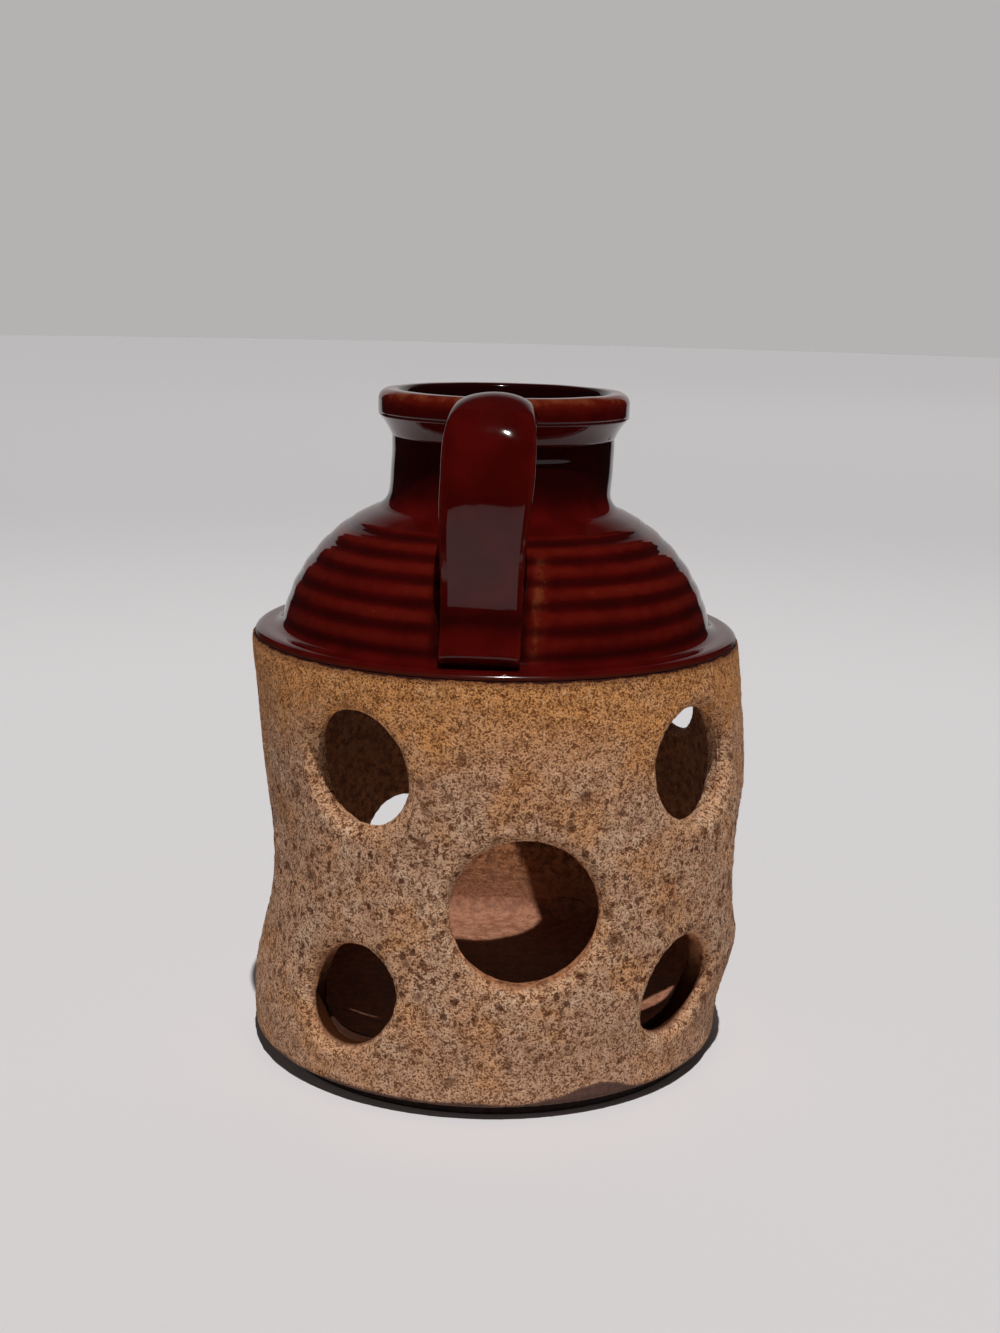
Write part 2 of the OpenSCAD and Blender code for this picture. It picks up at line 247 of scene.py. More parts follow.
wall_section = []
for i in range(wall_rows + 1):
    z = wall_top + (wall_bottom - wall_top) * i / wall_rows
    wall_section.append((float(wall_bore(z)), z))
wall_section.append((corner_r - edge_round, wall_bottom))
wall_section += arc((corner_r - edge_round, corner_z), edge_round, -75, 0, 5)
for i in range(1, wall_rows + 1):
    z = corner_z + (wall_top - wall_bottom - edge_round) * i / wall_rows
    wall_section.append((float(wall_radius(z)), z))
drum = as_piece("drum", turned(wall_section))
print("drum before the holes:", len(drum.data.polygons), "faces")

# %% [markdown]
# The holes stand in a staggered pattern: four larger ones round the waist and a column of two between them.
# A plug is a cone of no taper, set on the drum's skin and turned to its hole's direction.
# Plugs are a touch smaller than their holes, because the remesh that follows opens every hole a little.

# %% Plugs for the holes
# Each hole: direction in degrees from the handle towards +X, then height and diameter in mm
hole_table = [
    (8, 50.5, 36.2), (91, 50.5, 37), (172, 52, 37), (-89, 50.5, 37),
    (-31, 81.8, 28.4), (54, 81.8, 28.4), (128, 84.2, 22.2), (-150, 82, 29),
    (-32.5, 25.7, 25.8), (51, 27.6, 25), (132, 26.8, 27.5), (-145, 35, 27.5),
]
holes = [(direction, height * mm, diameter * mm) for direction, height, diameter in hole_table]
skin_allowance = 0.4 * mm
plug_length = 4 * wall_t
plug_corners = 96


def hole_axis(direction):
    """Outward unit vector of a hole, from its direction in degrees."""
    a = math.radians(direction)
    return Vector((math.sin(a), -math.cos(a), 0))


plugs_bm = bmesh.new()
for direction, height, diameter in holes:
    outward = hole_axis(direction)
    place = Matrix.Translation(outward * wall_r + Vector((0, 0, height)))
    plug_r = diameter / 2 - skin_allowance
    bmesh.ops.create_cone(
        plugs_bm, cap_ends=True, segments=plug_corners, depth=plug_length, radius1=plug_r, radius2=plug_r,
        matrix=place @ outward.to_track_quat("Z", "Y").to_matrix().to_4x4(),
    )
plugs = as_piece("plugs", plugs_bm)
print("plugs:", len(holes))

# %% [markdown]
# The plugs cut the drum and also the floor's cove, as the potter's cutter did.
# Modifiers could stay live, but lips and lumps need the points of the cut skin, so they are applied here.

# %% Cut the holes
skin_voxel = 0.97 * mm


def cut_holes(piece):
    """Gives a piece the Boolean that cuts it with the plugs."""
    cut = piece.modifiers.new("cut holes", "BOOLEAN")
    cut.object = plugs
    cut.operation = "DIFFERENCE"
    cut.solver = "EXACT"


def with_modifiers_applied(piece):
    """A new mesh of the piece as its modifiers show it."""
    shown = piece.evaluated_get(bpy.context.evaluated_depsgraph_get())
    return bpy.data.meshes.new_from_object(shown)


cut_holes(drum)
skin = drum.modifiers.new("even skin", "REMESH")
skin.mode = "VOXEL"
skin.voxel_size = skin_voxel
skin.use_smooth_shade = True
wall_mesh = with_modifiers_applied(drum)
cut_holes(floor_slab)
floor_slab.data = with_modifiers_applied(floor_slab)
floor_slab.modifiers.clear()
for helper in (drum, plugs):
    bpy.data.objects.remove(helper)
print("pierced wall:", len(wall_mesh.polygons), "faces")

# %% [markdown]
# The edges of the holes were wiped with a wet sponge, so they are round like the lip of a trumpet.
# A bevel would need clean edge loops, which a remeshed wall doesn't have.
# Instead each point near a hole sinks by the drop of a quarter circle, as far as the lip reaches.
# The drop fades to nothing at the middle of the wall, so the skin of the bore is squeezed and never folds.

# %% Smooth the cut skin
smooth_passes = 3
smoother = bmesh.new()
smoother.from_mesh(wall_mesh)
for _ in range(smooth_passes):
    bmesh.ops.smooth_vert(
        smoother, verts=smoother.verts[:], factor=0.5, use_axis_x=True, use_axis_y=True, use_axis_z=True
    )
smoother.to_mesh(wall_mesh)
smoother.free()
print("smoothing passes:", smooth_passes)

# %% Roll the lips of the holes
lip_outside = 3.0 * mm
lip_inside = 0.7 * mm
far_away = 1.0


def past_edge(places, hole):
    """How far points lie outside the edge of a hole, and which of them are on its side of the jug."""
    direction, height, diameter = hole
    outward = np.array(hole_axis(direction))
    from_axis = places - np.array([0, 0, height])
    along = from_axis @ outward
    return np.linalg.norm(from_axis - along[:, None] * outward, axis=1) - diameter / 2, along > 0


def lip_drop(across, size):
    """Drop of a quarter circle of this size, at a distance across from the hole's edge."""
    inward = np.clip(size - np.clip(across, 0, size), 0, size)
    return size - np.sqrt(size**2 - inward**2)


places, _ = points_of(wall_mesh)
radius = np.hypot(places[:, 0], places[:, 1])
middle_r = wall_radius(places[:, 2]) - wall_t / 2
outer_share = np.clip((radius - middle_r) / (wall_t / 2), 0, 1)
inner_share = np.clip((middle_r - radius) / (wall_t / 3), 0, 1)
hole_reach = np.full(len(places), far_away)
sink = np.zeros(len(places))
for hole in holes:
    across, near = past_edge(places, hole)
    hole_reach = np.where(near, np.minimum(hole_reach, across), hole_reach)
    sink += np.where(near, lip_drop(across, lip_outside) * outer_share, 0)
    sink -= np.where(near, lip_drop(across, lip_inside) * inner_share, 0)
places[:, :2] -= places[:, :2] / radius[:, None] * sink[:, None]
move_points(wall_mesh, places)
print("lips rolled, deepest drop in mm:", round(float(sink.max()) / mm, 2))

# %% [markdown]
# No hand-thrown drum is true. Seen from the front, this one bows a few millimetres to the right at its waist.
# A Simple Deform modifier could bend it, but a formula of the height can also be used for the floor.

# %% Lean of the drum
lean_most = 3.9 * mm
lean_low, lean_high = 12 * mm, 104 * mm
lean_skew = 0.78
lean_fade_low, lean_fade_high = 8 * mm, 32 * mm
foot_shift, foot_shift_low, foot_shift_high = -0.6 * mm, 6 * mm, 24 * mm
camera_right = np.array([math.cos(camera_turn), math.sin(camera_turn), 0])


def lean(places):
    """Moves points to the camera's right: most at the waist, none at the ledge, a little back at the foot."""
    z = places[:, 2]
    share = np.clip((z - lean_low) / (lean_high - lean_low), 0, 1) ** lean_skew
    bow = lean_most * np.sin(math.pi * share) * ramp(z, lean_fade_low, lean_fade_high)
    foot = foot_shift * ramp(-z, -foot_shift_high, -foot_shift_low)
    return places + camera_right * (bow + foot)[:, None]


print("lean in mm:", round(lean_most / mm, 1))

# %% [markdown]
# Gas from the clay left round dimples in the thick glaze, more of them at half height than near the ends.
# A texture could show them, but real hollows catch the light from any side.
# So they are small bowls in the skin, at seeded random places.

# %% Dimples
dimple_count = 240
dimple_depth = 0.5 * mm
dimple_low, dimple_high, dimple_often = wall_bottom + 3 * mm, wall_top - 12 * mm, 48 * mm
scatter = random.Random(7)

places, normals = points_of(wall_mesh)
dimple = np.zeros(len(places))
for _ in range(dimple_count):
    angle = scatter.uniform(-math.pi, math.pi)
    height = scatter.triangular(dimple_low, dimple_high, dimple_often)
    reach = scatter.triangular(0.7, 1.8, 0.9) * mm
    spot_r = float(wall_radius(height))
    spot = np.array([math.sin(angle) * spot_r, -math.cos(angle) * spot_r, height])
    gap = np.linalg.norm(places - spot, axis=1) / reach
    dimple = np.maximum(dimple, np.clip(1 - gap**2, 0, 1))
print("dimples:", dimple_count)

# %% [markdown]
# Fingers left broad lumps, and the glaze dried as a crust with coarse grit in it.
# Each is seeded noise of its own size, along the normals, and fades out where the wall meets its neighbours.

# %% Lumps, crust and grit
lump_height, lump_size = 0.25 * mm, 17 * mm
crust_height, crust_size = 0.16 * mm, 4 * mm
grit_height, grit_size = 0.22 * mm, 1.9 * mm
joint_fade = 4 * mm

outside = ramp(np.hypot(places[:, 0], places[:, 1]) - middle_r, -0.1 * wall_t, 0.3 * wall_t)
free = ramp(places[:, 2], wall_bottom, wall_bottom + joint_fade)
free *= ramp(-places[:, 2], -wall_top, -wall_top + joint_fade)
height_move = lump_height * lumps(places, lump_size, 1)
height_move += crust_height * lumps(places, crust_size, 12) * outside
height_move += grit_height * lumps(places, grit_size, 2) * (0.4 + 0.6 * outside)
height_move -= dimple_depth * dimple * outside
places += normals * (height_move * free)[:, None]
print("moves in mm, from", round(height_move.min() / mm, 2), "to", round(height_move.max() / mm, 2))

# %% [markdown]
# Over the wall the lips carry a painted highlight, the glaze is brown inside, and painted shade darkens the
# bores of the low holes.
# The bottom edge was wiped clean of it, a little higher at one place on the right.
# A mask could be drawn by hand, but these places follow from the shape, so they are worked out and stored.

# %% Marks for the wall's glaze
lip_fade = 1.4 * mm
wipe_height, wipe_reach = 3.2 * mm, 9 * mm
wipe_direction = math.radians(30)
bare_height, bare_waver, bare_waver_size = 1.3 * mm, 0.5 * mm, 8 * mm

height = places[:, 2]
# Painted highlight: a golden, cream ring round the outer edges of the holes.
lip_share = (1 - ramp(hole_reach, 0.5 * mm, lip_outside + lip_fade)) * outside
# Painted shade: the bores of the low holes are marked, to be painted almost black.
bore_share = (1 - ramp(hole_reach, 0.6 * mm, 1.6 * mm)) * (1 - ramp(outside, 0.05, 0.5))
bore_share *= 1 - ramp(height, 22 * mm, 40 * mm)
upper_bore = (1 - ramp(hole_reach, 0.5 * mm, 2 * mm)) * ramp(height, 62 * mm, 70 * mm)
around = np.arctan2(places[:, 0], -places[:, 1])
wipe = wipe_height * np.exp(-(((around - wipe_direction) * wall_r / wipe_reach) ** 2))
bare_line = wall_bottom + bare_height + wipe + bare_waver * lumps(places, bare_waver_size, 11)
paint(wall_mesh, "lip", lip_share)
paint(wall_mesh, "inside", (1 - outside) * (1 - upper_bore))
paint(wall_mesh, "bore", bore_share)
paint(wall_mesh, "dimple", dimple * outside)
paint(wall_mesh, "above_wipe", (height - bare_line) / mm)
print("painted on the wall:", len(places), "points")

# %% Finish wall and floor
move_points(wall_mesh, lean(places))
wall_mesh.shade_smooth()
pierced_wall = bpy.data.objects.new("pierced_wall_glazed", wall_mesh)
bpy.context.scene.collection.objects.link(pierced_wall)

places, _ = points_of(floor_slab.data)
# Painted shade: the floor's faces cut by the holes are marked, to be painted almost black.
cut_face_shade = np.zeros(len(places))
for hole in holes:
    across, near = past_edge(places, hole)
    cut_face_shade = np.maximum(cut_face_shade, np.where(near, 1 - ramp(across, 0, 0.8 * mm), 0))
paint(floor_slab.data, "bore", cut_face_shade)
move_points(floor_slab.data, lean(places))
print("wall triangles:", sum(len(p.vertices) - 2 for p in wall_mesh.polygons))

# %% [markdown]
# ## The ribbed shoulder
# The dome was thrown as one piece with a thin ledge, whose edge rolls over the drum.
# A lathe section gives it: the rolled ledge, a small fillet, one arc for the dome, and a second arc inside.
# The dome's arc is found from its radius and its two ends, so it follows the frame.

# %% Arc of the dome
shoulder_low, shoulder_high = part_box("ribbed_shoulder")
neck_low, neck_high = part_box("neck_collar")
rim_low, rim_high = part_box("rolled_rim")
ledge_inset = 0.7 * mm
ledge_r = wall_r - ledge_inset
ledge_z = wall_top
ledge_t = 1.6 * mm
ledge_w = 6.5 * mm
dome_r = 38.8 * mm
dome_drop = 1.1 * mm
dome_foot = np.array([ledge_r - ledge_w, ledge_z + ledge_t])
dome_top = np.array([neck_high.x, shoulder_high.z - dome_drop])

chord = dome_top - dome_foot
half_chord = np.linalg.norm(chord) / 2
inward = np.array([-chord[1], chord[0]]) / (2 * half_chord)
dome_centre = (dome_foot + dome_top) / 2 + inward * math.sqrt(dome_r**2 - half_chord**2)


def angle_on_dome(point):
    """Angle in degrees of a section point, seen from the dome's centre."""
    return math.degrees(math.atan2(point[1] - dome_centre[1], point[0] - dome_centre[0]))


foot_angle = angle_on_dome(dome_foot)
top_angle = angle_on_dome(dome_top)
print("dome climbs from", round(foot_angle), "to", round(top_angle), "degrees")

# %% Spin the shoulder
dome_t = 5.5 * mm
spigot_inset = 9 * mm
inner_foot_angle = 8
ledge_roll = 2.4 * mm
fillet_r = 3 * mm
fillet_z = dome_foot[1] + fillet_r
fillet_x = dome_centre[0] + math.sqrt((dome_r + fillet_r) ** 2 - (fillet_z - dome_centre[1]) ** 2)
fillet_angle = angle_on_dome((fillet_x, fillet_z))

shoulder_section = [(ledge_r - spigot_inset, shoulder_low.z), (ledge_r - wall_t, shoulder_low.z)]
shoulder_section.append((ledge_r - wall_t, ledge_z))
for across, up in arc((0, 0), 1, 0, 90, 12):
    shoulder_section.append((ledge_r - ledge_roll * (1 - across), ledge_z + ledge_t * up))
shoulder_section += arc((fillet_x, fillet_z), fillet_r, -90, fillet_angle - 180, 10)
shoulder_section += arc(dome_centre, dome_r, fillet_angle, top_angle, 90)[1:]
shoulder_section += arc(dome_centre, dome_r - dome_t, top_angle, inner_foot_angle, 24)
shoulder = as_piece("ribbed_shoulder_glazed", turned(shoulder_section))
print("shoulder:", len(shoulder.data.polygons), "faces")

# %% [markdown]
# The fingers left ribs round the dome, with fine lines between them.
# They are added by moving points along their normals, because a rib fades and wanders as it goes round,
# which a spun section can't do. The groove between two ribs is a soft bell, repeated up the dome.

# %% Ribs of the dome
rib_count = 6
rib_start_share = 0.35
rib_depth = 0.23 * mm
rib_width_share = 0.42
fine_line_depth = 0.015 * mm
dome_lump_height, dome_lump_size = 0.12 * mm, 14 * mm

places, normals = points_of(shoulder.data)
radius = np.hypot(places[:, 0], places[:, 1])
around = np.arctan2(places[:, 0], -places[:, 1])
climb = np.degrees(np.arctan2(places[:, 2] - dome_centre[1], radius - dome_centre[0]))
dome_share = (climb - foot_angle) / (top_angle - foot_angle)
from_centre = np.hypot(radius - dome_centre[0], places[:, 2] - dome_centre[1])
on_dome = ramp(dome_share, 0.07, 0.22) * ramp(-dome_share, -1.0, -0.93)
on_dome *= ramp(from_centre, dome_r - 1 * mm, dome_r - 0.5 * mm)

turn_x, turn_y = np.cos(around), np.sin(around)
wander = 0.09 * lumps(np.stack([turn_x, turn_y, dome_share * 3], 1), 1.0, 3)
strength = 1 + 0.55 * lumps(np.stack([turn_x * 1.5, turn_y * 1.5, dome_share * 7], 1), 1.0, 4)
phase = (dome_share + wander / rib_count) * rib_count - rib_start_share
from_groove = np.abs(phase - np.round(phase))
groove = np.exp(-((from_groove / rib_width_share) ** 2) * 2)
fine_lines = np.sin(dome_share * 150 + around + 3 * wander)
thickness = rib_depth * strength * (0.5 - groove) + fine_line_depth * fine_lines
places += normals * (thickness * on_dome)[:, None]
places += normals * (dome_lump_height * lumps(places, dome_lump_size, 5) * on_dome)[:, None]
move_points(shoulder.data, places)
print("ribs:", rib_count, "deepest move in mm:", round(float(np.abs(thickness).max()) / mm, 2))

# %% [markdown]
# Glaze runs off the ribs and gathers in the grooves, and in the corner beside the handle, where painted shade
# darkens it too.
# To the right of the handle a painted highlight lightens the dome, and on the edge of the ledge the glaze
# dried matt.
# The groove's own bell gives these places, so the colour stays in step with the shape.

# %% Marks for the shoulder's glaze
side = places[:, 0]
front = ramp(-places[:, 1], 0, 10 * mm)
glazed = ramp(dome_share, -0.02, 0.06) * ramp(-dome_share, -1.0, -0.93)
# Painted shade with gathered glaze: a dark band on the dome along both sides of the handle.
pool_and_shade_beside_strap = ramp(side, -13 * mm, -10.5 * mm) * ramp(-side, -11.5 * mm, -9.5 * mm) * front
# Painted highlight: a lighter, orange-brown band on the dome right of the handle.
highlight_right_of_strap = ramp(side, 9.8 * mm, 11.5 * mm) * ramp(-side, -17 * mm, -12.5 * mm) * front
pooled_and_shade = np.clip(1.5 * groove - 0.6, 0, 1) * 0.75
pooled_and_shade = np.maximum(pooled_and_shade, 0.8 * pool_and_shade_beside_strap * ramp(-dome_share, -0.75, -0.55))
thin = np.maximum(0.7 * (1 - groove) * strength, highlight_right_of_strap * ramp(-dome_share, -0.9, -0.7))
# The pool mark holds gathered glaze and painted shade; the thin mark holds thin glaze and the painted
# highlight.
paint(shoulder.data, "pooled_and_shade", pooled_and_shade * glazed)
paint(shoulder.data, "thin", np.clip(thin * glazed, 0, 1))
paint(shoulder.data, "dry", ramp(radius, ledge_r - 0.6 * mm, ledge_r - 0.1 * mm))
print("painted on the shoulder:", len(places), "points")

# %% [markdown]
# ## The neck and the rim
# The neck is a short straight collar that flares onto the dome, and the rim is a thick rolled lip.
# Both are spun sections. The neck ends in a feather edge on the dome, because slip and glaze hide the joint.
# The potter set them a little to one side, so their points and the handle's top are shifted alike.

# %% Neck
top_shift, shift_low, shift_high = 0.8 * mm, 134 * mm, 152 * mm
neck_r = 27.5 * mm
neck_bore_r = 21.5 * mm
neck_rows = 40
neck_top = rim_low.z + 1 * mm
flare_r = 5 * mm
flare_x = neck_r + flare_r - dome_centre[0]
flare_centre = dome_centre + np.array([flare_x, math.sqrt((dome_r + flare_r) ** 2 - flare_x**2)])
flare_end = angle_on_dome(flare_centre)
feather, root_depth = 0.02 * mm, 2 * mm


def stand_off(places):
    """Moves the points above the dome a little to the camera's right, where the potter set the neck."""
    return places + camera_right * (top_shift * ramp(places[:, 2], shift_low, shift_high))[:, None]


neck_section = arc(dome_centre, dome_r - root_depth, top_angle - 4, top_angle - 4, 1)[:1]
neck_section += arc(dome_centre, dome_r + feather, top_angle - 3, flare_end, 8)
neck_section += arc(flare_centre, flare_r, flare_end - 180, -180, 14)[1:]
for i in range(1, neck_rows + 1):
    neck_section.append((neck_r, flare_centre[1] + (neck_top - flare_centre[1]) * i / neck_rows))
neck_section += [(neck_bore_r, neck_top), (neck_bore_r, neck_low.z)]
neck = as_piece("neck_glazed", turned(neck_section))
print("neck:", len(neck.data.polygons), "faces")

# %% Rings of the neck
ring_depth, ring_step = 0.03 * mm, 1.15 * mm
streak_depth, streak_z, streak_reach = 0.22 * mm, 150.3 * mm, 1.1 * mm
neck_lump_height, neck_lump_size = 0.08 * mm, 14 * mm

places, normals = points_of(neck.data)
neck_free = ramp(places[:, 2], dome_top[1] + 3 * mm, dome_top[1] + 6 * mm)
around = np.arctan2(places[:, 0], -places[:, 1])
rings = ring_depth * np.sin(places[:, 2] / ring_step + 0.6 * np.sin(around))
streak = np.exp(-(((places[:, 2] - streak_z) / streak_reach) ** 2))
streak *= ramp(around, 0.1, 0.4) * ramp(-around, -1.1, -0.5)
rings -= streak_depth * streak
rings += neck_lump_height * lumps(places, neck_lump_size, 6)
places += normals * (rings * neck_free)[:, None]
move_points(neck.data, stand_off(places))
# Painted shade: the neck is darkened towards the rim, where the rim's overhang shades it.
paint(neck.data, "pooled_and_shade", 0.8 * ramp(places[:, 2], dome_top[1] + 3 * mm, dome_top[1] + 12 * mm))
print("neck rings every", round(2 * math.pi * ring_step / mm, 1), "mm, and one deeper streak on the right")

# %% Rim
rim_r = rim_high.x
rim_top = rim_high.z
rim_under = rim_low.z + 5.3 * mm
rim_lap = 0.2 * mm
mouth_r = 25.3 * mm
rim_round, under_round, mouth_round = 2.6 * mm, 0.8 * mm, 1.6 * mm
under_hollow = 0.35 * mm
under_steps = 10

rim_section = [(neck_bore_r, rim_low.z), (neck_r - rim_lap, rim_low.z)]
for i in range(under_steps + 1):
    share = i / under_steps
    hollow = under_hollow * math.sin(math.pi * share)
    under_r = neck_r + (rim_r - neck_r) * share - hollow
    rim_section.append((under_r, rim_low.z + (rim_under - rim_low.z) * share))
rim_section += arc((rim_r - under_round, rim_under + under_round), under_round, -45, 0, 4)
rim_section += arc((rim_r - rim_round, rim_top - rim_round), rim_round, 0, 90, 12)
rim_section += arc((mouth_r + mouth_round, rim_top - mouth_round), mouth_round, 90, 180, 8)
rim = as_piece("rolled_rim_glazed", turned(rim_section))
print("rim:", len(rim.data.polygons), "faces")

# %% Lumps and marks of the rim
rim_lump_height, rim_lump_size = 0.14 * mm, 10 * mm

places, normals = points_of(rim.data)
rim_free = ramp(places[:, 2], rim_low.z, rim_low.z + 2 * mm)
places += normals * (rim_lump_height * lumps(places, rim_lump_size, 8) * rim_free)[:, None]
move_points(rim.data, stand_off(places))
radius = np.hypot(places[:, 0], places[:, 1])
crest = ramp(places[:, 2], rim_under + 0.5 * mm, rim_top - 0.3 * mm)
paint(rim.data, "thin", crest * ramp(radius, mouth_r, mouth_r + 1.5 * mm))
# Painted shade: the inner edge of the mouth is painted almost black.
paint(rim.data, "pooled_and_shade", 1 - ramp(radius, mouth_r + 0.6 * mm, mouth_r + 2.2 * mm))
print("painted on the rim:", len(places), "points")

# %% [markdown]
# ## The strap handle
# The handle was pulled from a lump of clay into a strap, bent over the rim and pressed onto the dome.
# It could be a curve with a bevel, but its width, thickness and roundness all change on the way.
# So its middle line comes first: an arch, a drop that sways in to a waist, and an arc out to the foot.

# %% Middle line of the strap
handle_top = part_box("strap_handle")[1].z
arch_r = 16 * mm
arch_reach = 37 * mm
arch_root_inset = 5 * mm
strap_top_t, strap_foot_t = 7 * mm, 5.4 * mm
strap_top_w, strap_foot_w = 21.6 * mm, 18.5 * mm
strap_foot = dome_foot + np.array([2.7, 1.5]) * mm
strap_side = np.array([arch_reach + arch_r, 145.5 * mm])
strap_waist = np.array([strap_side[0] - 1.0 * mm, 122 * mm])
arch_rise = handle_top - strap_top_t / 2 - strap_side[1]
arch_start = math.degrees(math.pi - math.acos((arch_reach - rim_r + arch_root_inset) / arch_r))
arch_rings, drop_rings, flare_rings = 26, 18, 12

strap_line = []
for x, y in arc((0, 0), 1, arch_start, 0, arch_rings):
    strap_line.append(np.array([arch_reach + arch_r * x, strap_side[1] + arch_rise * y]))
for i in range(1, drop_rings + 1):
    share = i / drop_rings
    sway = (1 - math.cos(math.pi * share)) / 2
    strap_line.append(strap_side + (strap_waist - strap_side) * np.array([sway, share]))
flare_out, flare_down = strap_foot[0] - strap_waist[0], strap_waist[1] - strap_foot[1]
flare_turn = 2 * math.atan2(flare_out, flare_down)
flare_bend = flare_down / math.sin(flare_turn)
for i in range(1, flare_rings + 1):
    turn = flare_turn * i / flare_rings
    strap_line.append(strap_waist + flare_bend * np.array([1 - math.cos(turn), -math.sin(turn)]))
print("strap rings:", len(strap_line), "flare in degrees:", round(math.degrees(flare_turn)))

# %% [markdown]
# Rings are made along the line with create_circle, squared more towards the foot, and joined by bridge_loops.
# The squaring is a superellipse: a power of 2 is an ellipse, and a higher one has fuller corners.

# %% Loft the strap
ring_points = 40
crest_ring, crest_spread = 8, 7
crest_narrow_share = 0.14
crest_swell, root_swell = 1.2 * mm, 2.4 * mm
last_ring = len(strap_line) - 1


def strap_sizes(i):
    """Width, thickness and squareness of the strap at a ring."""
    share = i / last_ring
    root = max(0.0, 1 - 2.2 * i / arch_rings)
    crest = math.exp(-(((i - crest_ring) / crest_spread) ** 2))
    width = strap_top_w + (strap_foot_w - strap_top_w) * float(ramp(share, 0.3, 0.8))
    thick = strap_top_t + (strap_foot_t - strap_top_t) * share + crest_swell * crest + root_swell * root**2
    return width * (1 - crest_narrow_share * crest), thick, 2.0 + 2.6 * float(ramp(share, 0.15, 0.65))


strap_bm = bmesh.new()
strap_rings = []
for i, point in enumerate(strap_line):
    ahead = strap_line[min(i + 1, last_ring)] - strap_line[max(i - 1, 0)]
    ahead /= np.linalg.norm(ahead)
    out = np.array([-ahead[1], ahead[0]])
    width, thick, power = strap_sizes(i)
    ring = bmesh.ops.create_circle(strap_bm, segments=ring_points, radius=1)["verts"]
    for v in ring:
        across = math.copysign(abs(v.co.x) ** (2 / power), v.co.x) * width / 2
        through = math.copysign(abs(v.co.y) ** (2 / power), v.co.y) * thick / 2
        r, z = point + through * out
        v.co = (across, -r, z)
    strap_rings.append(ring)
for a, b in zip(strap_rings, strap_rings[1:]):
    edges = {e for v in a + b for e in v.link_edges if e.is_boundary or e.is_wire}
    bmesh.ops.bridge_loops(strap_bm, edges=list(edges))
print("strap faces:", len(strap_bm.faces))

# %% [markdown]
# The strap's end was cut square and its edge wiped round, and the root is hidden in the rim.
# Each open end gets one face, and the visible end's edge is beveled.

# %% Ends of the strap
end_round = 0.9 * mm
for ring in (strap_rings[0], strap_rings[-1]):
    strap_bm.faces.new(ring)
bmesh.ops.recalc_face_normals(strap_bm, faces=strap_bm.faces[:])
end_verts = set(strap_rings[-1])
end_edges = [e for e in strap_bm.edges if e.verts[0] in end_verts and e.verts[1] in end_verts]
bmesh.ops.bevel(
    strap_bm, geom=end_edges, offset=end_round, offset_type="OFFSET", segments=4, profile=0.5,
    affect="EDGES", material=-1,
)
bmesh.ops.triangulate(strap_bm, faces=[f for f in strap_bm.faces if len(f.verts) > 4])
handle = as_piece("strap_handle_glazed", strap_bm)
print("handle:", len(handle.data.polygons), "faces")

# %% Lumps and marks of the strap
strap_lump_height, strap_lump_size = 0.14 * mm, 12 * mm
strap_dent_height, strap_dent_size = 0.025 * mm, 3.5 * mm
pool_drop, pool_waver, pool_reach = 3.5 * mm, 0.9 * mm, 2.4 * mm

places, normals = points_of(handle.data)
strap_move = strap_lump_height * lumps(places, strap_lump_size, 9)
strap_move += strap_dent_height * lumps(places, strap_dent_size, 10)
places += normals * strap_move[:, None]
move_points(handle.data, stand_off(places))
widening = ramp(places[:, 2], strap_foot[1], handle_top)
half_width = 0.5 * (strap_foot_w + (strap_top_w - strap_foot_w) * widening)
edge = ramp(np.abs(places[:, 0]) / half_width, 0.8, 1.0)
end = 1 - ramp(places[:, 2], strap_foot[1] - 1 * mm, strap_foot[1] + 3 * mm)
paint(handle.data, "thin", np.clip(0.6 * edge + 0.45 * end, 0, 1))
from_pool = places[:, 2] - strap_waist[1] + pool_drop + pool_waver * lumps(places, 5 * mm, 13)
paint(handle.data, "pooled_and_shade", 0.75 * np.exp(-((from_pool / pool_reach) ** 2)))
print("painted on the handle:", len(places), "points")

# %% [markdown]
# ## Materials
# Each finish is a node tree on Object coordinates, so it stays in place when the jug moves.
# A tiny builder keeps the trees short: it adds a node, sets its inputs and links its outputs.

